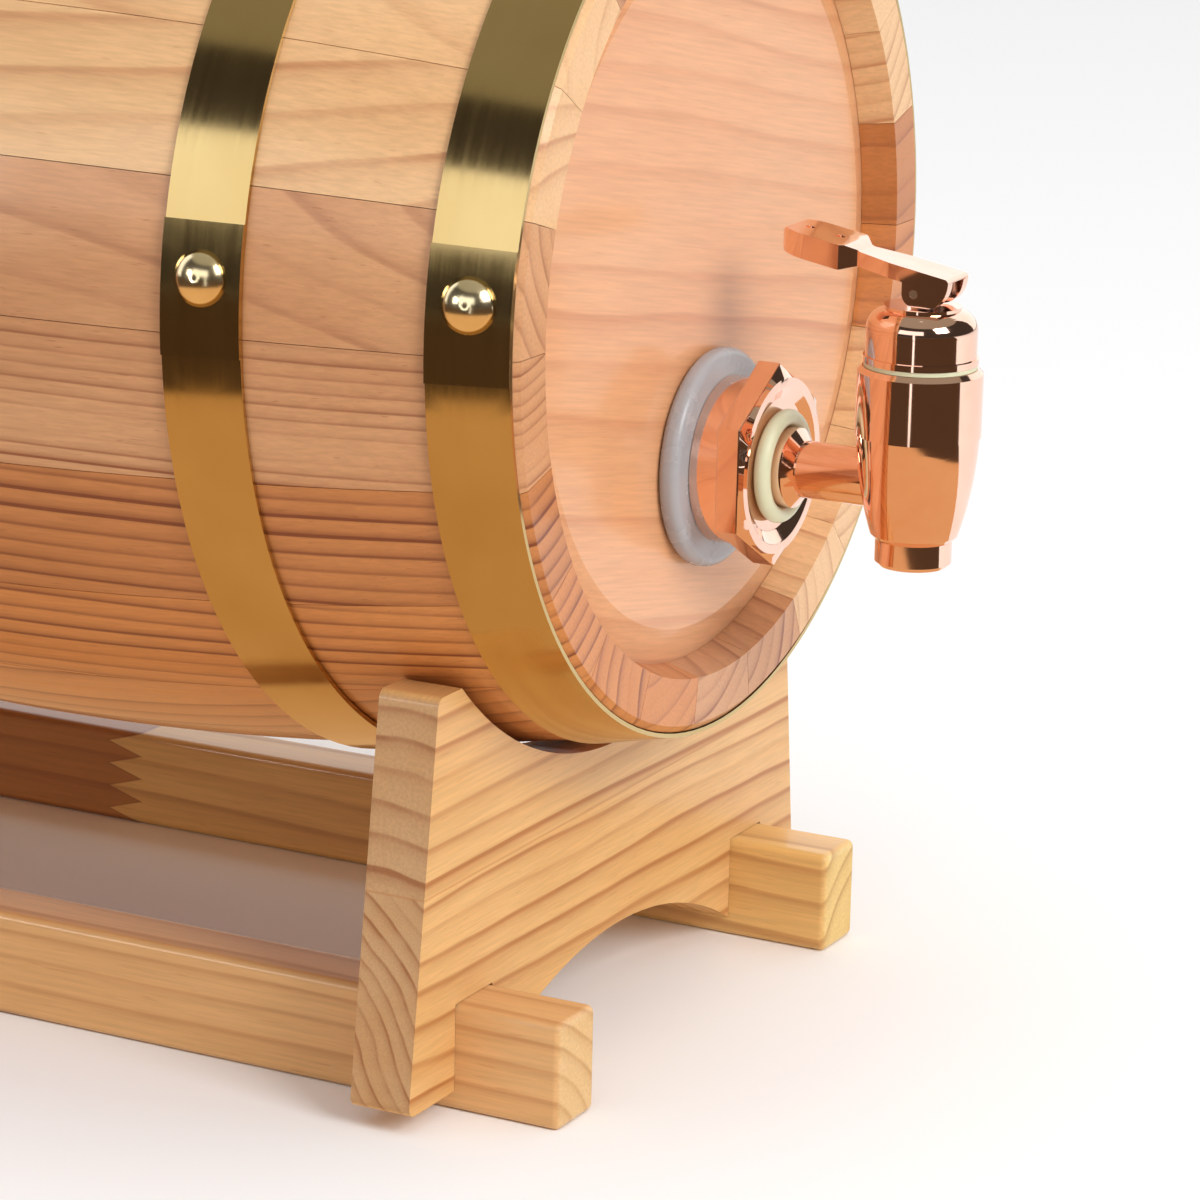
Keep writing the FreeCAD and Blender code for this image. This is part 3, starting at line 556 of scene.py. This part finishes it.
# a turned blank whose rim is drawn in to the six flats
def makeNut():
    bm = bmesh.new()
    flat = nut["acrossFlats"] / 2
    corner = flat / math.cos(math.radians(30))
    spinOutline(bm, [(nut["flangeBack"], nut["bore"]), (nut["flangeBack"], nut["flange"]),
                     (nut["nutBack"], nut["flange"]), (nut["nutBack"], corner),
                     (nut["front"] - nut["chamfer"], corner), (nut["front"], flat - nut["ease"]),
                     (nut["front"], nut["dish"]), (nut["dishFloor"], nut["dishFoot"]),
                     (nut["dishFloor"], nut["bore"])], nut["steps"])
    for vert in bm.verts:
        y, z = vert.co.y, vert.co.z - tapHeight
        reach = math.hypot(y, z)
        turn = math.radians((math.degrees(math.atan2(y, z)) % 60) - 30)
        limit = flat / math.cos(turn)
        if reach > limit:
            vert.co.y, vert.co.z = y * limit / reach, tapHeight + z * limit / reach
    easeCorners(bm, nut["easeAbove"], nut["ease"])
    piece = finishPiece("flangeNutTurned", bm, rose)
    evenShading(piece)
    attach(piece, "cask")
    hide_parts("flange_nut")


makeNut()

lever = {"ease": 0.0005, "easeAbove": 30, "flatWithin": 0.6}


# the lever with its edges broken
def makeLever():
    bm = bmesh.new()
    bm.from_mesh(nodes["lever"].data)
    bmesh.ops.remove_doubles(bm, verts=bm.verts, dist=1e-6)
    bmesh.ops.dissolve_limit(bm, angle_limit=math.radians(lever["flatWithin"]), verts=bm.verts,
                             edges=bm.edges)
    easeCorners(bm, lever["easeAbove"], lever["ease"])
    piece = finishPiece("leverEased", bm, rose)
    evenShading(piece)
    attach(piece, "lever")
    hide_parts("lever")


makeLever()

washer = {"back": 0.13005, "front": 0.13425, "outer": 0.021, "inner": 0.0094,
          "rounding": 0.0018, "roundSteps": 7, "steps": 96}


def makeWasher():
    bm = bmesh.new()
    back, front, inner, outer = (washer[key] for key in ("back", "front", "inner", "outer"))
    spinOutline(bm, [(back, inner), (back, outer), (front, outer), (front, inner)],
                washer["steps"])
    axis = Vector((0, 0, tapHeight))
    rim = []
    for edge in bm.edges:
        across = (edge.verts[0].co - axis) * Vector((0, 1, 1))
        if edge.calc_face_angle(0.0) > 1.0 and across.length > outer - 1e-4:
            rim.append(edge)
    bmesh.ops.bevel(bm, geom=rim, offset=washer["rounding"], segments=washer["roundSteps"],
                    profile=0.5, material=-1, affect="EDGES")
    piece = finishPiece("outerWasherRing", bm, silicone)
    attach(piece, "cask")
    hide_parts("outer_washer")


makeWasher()

rivet = {"grow": 1.13, "sharpAngle": 40.0}


# the domed heads, each a little broader than the frame's plain rivet
def makeRivets():
    bm = bmesh.new()
    bm.from_mesh(nodes["hoop_rivets"].data)
    bmesh.ops.remove_doubles(bm, verts=bm.verts, dist=1e-6)
    left = set(bm.verts)
    for start in bm.verts[:]:
        if start not in left:
            continue
        left.discard(start)
        island = [start]
        for vert in island:  # the list grows as it is walked
            for edge in vert.link_edges:
                other = edge.other_vert(vert)
                if other in left:
                    left.discard(other)
                    island.append(other)
        middle = sum((vert.co for vert in island), Vector()) / len(island)
        bmesh.ops.scale(bm, vec=(rivet["grow"],) * 3, space=Matrix.Translation(-middle),
                        verts=island)
    piece = finishPiece("hoopRivetDomes", bm, rivetBrass, rivet["sharpAngle"])
    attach(piece, "cask")
    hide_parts("hoop_rivets")


makeRivets()

spring = {"middle": 0.1736, "wire": 0.00035, "wireSides": 10, "radius": 0.0048, "turns": 7,
          "stepsPerTurn": 28, "lift": 0.0044, "fixedEnd": 0.1408, "sharpAngle": 50.0}


# a wire's round section carried round and up
def makeSpring():
    low, high = (corner[2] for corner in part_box("return_spring"))
    steps = spring["turns"] * spring["stepsPerTurn"]
    rise = (high - low - 2 * spring["wire"]) / steps
    middle = Vector((frameX(spring["middle"]), 0, low + spring["wire"]))
    bm = bmesh.new()
    bmesh.ops.create_circle(bm, segments=spring["wireSides"], radius=spring["wire"])
    bmesh.ops.rotate(bm, cent=(0, 0, 0), matrix=Matrix.Rotation(math.radians(90), 3, "X"),
                     verts=bm.verts)
    bmesh.ops.translate(bm, vec=middle + Vector((spring["radius"], 0, 0)), verts=bm.verts)
    bmesh.ops.spin(bm, geom=bm.verts[:] + bm.edges[:], cent=middle, axis=(0, 0, 1),
                   dvec=(0, 0, rise), angle=2 * math.pi * spring["turns"], steps=steps,
                   use_merge=False)
    bmesh.ops.holes_fill(bm, edges=[edge for edge in bm.edges if edge.is_boundary])
    bmesh.ops.recalc_face_normals(bm, faces=bm.faces)
    piece = finishPiece("returnSpringCoil", bm, steel, spring["sharpAngle"])
    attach(piece, "cask")
    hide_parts("return_spring")
    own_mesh(piece)


makeSpring()
print("small pieces made")

# Studio: a pale floor and soft lights, with dark walls and cards that only reflections show

studio = {
    "floorColour": 0.93, "floorRadius": 6.0, "rough": 0.9, "worldGlow": 0.50,
    "middle": (0.08, 0.0, 0.15), "wallReach": 4.5, "wallColour": (0.055, 0.046, 0.038),
}


def plainMaterial(name, colour, glow=0.0):
    material, tree, shader = newMaterial(name)
    shader.inputs["Roughness"].default_value = studio["rough"]
    if glow:
        shader.inputs["Base Color"].default_value = rgba(0.0)
        shader.inputs["Specular IOR Level"].default_value = 0.0
        shader.inputs["Emission Color"].default_value = rgba(colour)
        shader.inputs["Emission Strength"].default_value = glow
    else:
        shader.inputs["Base Color"].default_value = rgba(colour)
    return material


def stageMesh(name, bm, material, reflectedOnly=True):
    mesh = bpy.data.meshes.new(name)
    bm.to_mesh(mesh)
    bm.free()
    obj = bpy.data.objects.new(name, mesh)
    bpy.context.scene.collection.objects.link(obj)
    mesh.materials.append(material)
    if reflectedOnly:
        obj.visible_camera = obj.visible_diffuse = False
        obj.visible_shadow = obj.visible_transmission = False


def makeFloor():
    bm = bmesh.new()
    bmesh.ops.create_circle(bm, cap_ends=True, segments=96, radius=studio["floorRadius"])
    stageMesh("floor", bm, plainMaterial("paleFloor", studio["floorColour"]), reflectedOnly=False)


def makeWalls():
    bm = bmesh.new()
    bmesh.ops.create_uvsphere(bm, u_segments=48, v_segments=24, radius=studio["wallReach"])
    stageMesh("studioWalls", bm, plainMaterial("wallPaint", studio["wallColour"], 1.0))


# azimuths run from the near side towards the tap, and elevations up, in degrees
cards = {
    "ceilingCard": {"azimuths": (-180, 180), "elevations": (46, 88),
                    "colour": (0.35, 0.32, 0.25), "glow": 1.0, "reach": 3.6},
    "hoopSoftbox": {"azimuths": (-25, 28), "elevations": (10.5, 30), "colour": 1.0, "glow": 1.5,
                    "reach": 3.4},
    "backCard": {"azimuths": (150, 290), "elevations": (-1, 52), "colour": 1.0, "glow": 1.3,
                 "reach": 3.6},
    "sideSoftbox": {"azimuths": (-42, -30), "elevations": (9, 20), "colour": 1.0, "glow": 14.0,
                    "reach": 3.6},
}


# a curved card round the object
def makeCard(name, card):
    bm = bmesh.new()
    bmesh.ops.create_grid(bm, x_segments=24, y_segments=6, size=0.5)
    (left, right), (low, high) = card["azimuths"], card["elevations"]
    for vert in bm.verts:
        azimuth = math.radians(left + (vert.co.x + 0.5) * (right - left))
        elevation = math.radians(low + (vert.co.y + 0.5) * (high - low))
        outward = Vector((math.sin(azimuth) * math.cos(elevation),
                          -math.cos(azimuth) * math.cos(elevation), math.sin(elevation)))
        vert.co = outward * card["reach"] + Vector(studio["middle"])
    stageMesh(name, bm, plainMaterial(name + "Paint", card["colour"], card["glow"]))


# warm near the stand and dark beyond, as the hoops and the tap mirror the ground
mats = {
    "nearMat": {"inner": 0.02, "outer": 0.42, "colour": (0.79, 0.46, 0.215)},
    "farMat": {"inner": 0.42, "outer": 4.2, "colour": (0.085, 0.050, 0.028)},
}
matPlace = {"x": 0.06, "height": 0.0012, "backEdge": 0.12}


# a flat ring cut off behind the object
def makeMat(name, mat):
    bm = bmesh.new()
    bmesh.ops.create_circle(bm, segments=64, radius=mat["inner"])
    grown = bmesh.ops.extrude_edge_only(bm, edges=bm.edges[:])["geom"]
    verts = [item for item in grown if isinstance(item, bmesh.types.BMVert)]
    widen = mat["outer"] / mat["inner"]
    bmesh.ops.scale(bm, vec=(widen, widen, 1), verts=verts)
    bmesh.ops.translate(bm, vec=(matPlace["x"], 0, matPlace["height"]), verts=bm.verts)
    bmesh.ops.bisect_plane(bm, geom=bm.verts[:] + bm.edges[:] + bm.faces[:],
                           plane_co=(0, matPlace["backEdge"], 0), plane_no=(0, 1, 0),
                           clear_outer=True)
    stageMesh(name, bm, plainMaterial(name + "Paint", mat["colour"], 1.0))


strip = {"place": (0.215, -0.50, 0.13), "width": 0.035, "height": 0.24, "glow": 1.6}


# a narrow upright card that draws the bright line down the tap
def makeStrip():
    bm = bmesh.new()
    bmesh.ops.create_grid(bm, x_segments=1, y_segments=1, size=0.5)
    bmesh.ops.scale(bm, vec=(strip["width"], strip["height"], 1), verts=bm.verts)
    bmesh.ops.rotate(bm, cent=(0, 0, 0), matrix=Matrix.Rotation(math.radians(90), 3, "X"),
                     verts=bm.verts)
    bmesh.ops.translate(bm, vec=strip["place"], verts=bm.verts)
    stageMesh("tapStrip", bm, plainMaterial("tapStripPaint", 1.0, strip["glow"]))


lights = {
    "keySoftbox": {"place": (1.7, -0.6, 1.25), "aim": (0.05, 0, 0.12), "side": 0.9, "power": 24},
    "topSoftbox": {"place": (0.1, 0.2, 4.0), "aim": (0, 0, 0.1), "side": 5.0, "power": 85},
}


def makeLight(name, look):
    data = bpy.data.lights.new(name, "AREA")
    data.shape = "RECTANGLE"
    data.size = data.size_y = look["side"]
    data.energy = look["power"]
    light = bpy.data.objects.new(name, data)
    bpy.context.scene.collection.objects.link(light)
    place, aim = Vector(look["place"]), Vector(look["aim"])
    light.location = place
    light.rotation_euler = (aim - place).to_track_quat("-Z", "Y").to_euler()


def makeWorld():
    world = bpy.data.worlds.new("studioWorld")
    bpy.context.scene.world = world
    world.use_nodes = True
    background = world.node_tree.nodes["Background"]
    background.inputs[0].default_value = rgba(1.0)
    background.inputs[1].default_value = studio["worldGlow"]
    bpy.context.scene.view_settings.view_transform = "Standard"


makeFloor()
makeWalls()
for name, card in cards.items():
    makeCard(name, card)
for name, mat in mats.items():
    makeMat(name, mat)
makeStrip()
for name, look in lights.items():
    makeLight(name, look)
makeWorld()

# Camera, at the photograph's place and angle

camera = {"place": (0.498160, -0.758200, 0.309640), "yaw": 27.223, "pitch": 14.897, "roll": 1.25,
          "focalPixels": 4546.04, "imagePixels": 1200, "sensor": 36.0, "clip": (0.01, 50)}


def makeCamera():
    data = bpy.data.cameras.new("photoCamera")
    data.sensor_width = camera["sensor"]
    data.lens = camera["focalPixels"] / camera["imagePixels"] * camera["sensor"]
    data.clip_start, data.clip_end = camera["clip"]
    obj = bpy.data.objects.new("photoCamera", data)
    bpy.context.scene.collection.objects.link(obj)
    yaw, pitch, roll = (math.radians(camera[key]) for key in ("yaw", "pitch", "roll"))
    back = Vector((math.sin(yaw) * math.cos(pitch), -math.cos(yaw) * math.cos(pitch),
                   math.sin(pitch)))
    right = Vector((math.cos(yaw), math.sin(yaw), 0))
    up = back.cross(right)
    tiltedRight = right * math.cos(roll) + up * math.sin(roll)
    tiltedUp = up * math.cos(roll) - right * math.sin(roll)
    turn = Matrix((tiltedRight, tiltedUp, back)).transposed().to_4x4()
    x, y, z = camera["place"]
    obj.matrix_world = Matrix.Translation((frameX(x), y, z)) @ turn
    bpy.context.scene.camera = obj


makeCamera()
print("studio and camera ready")
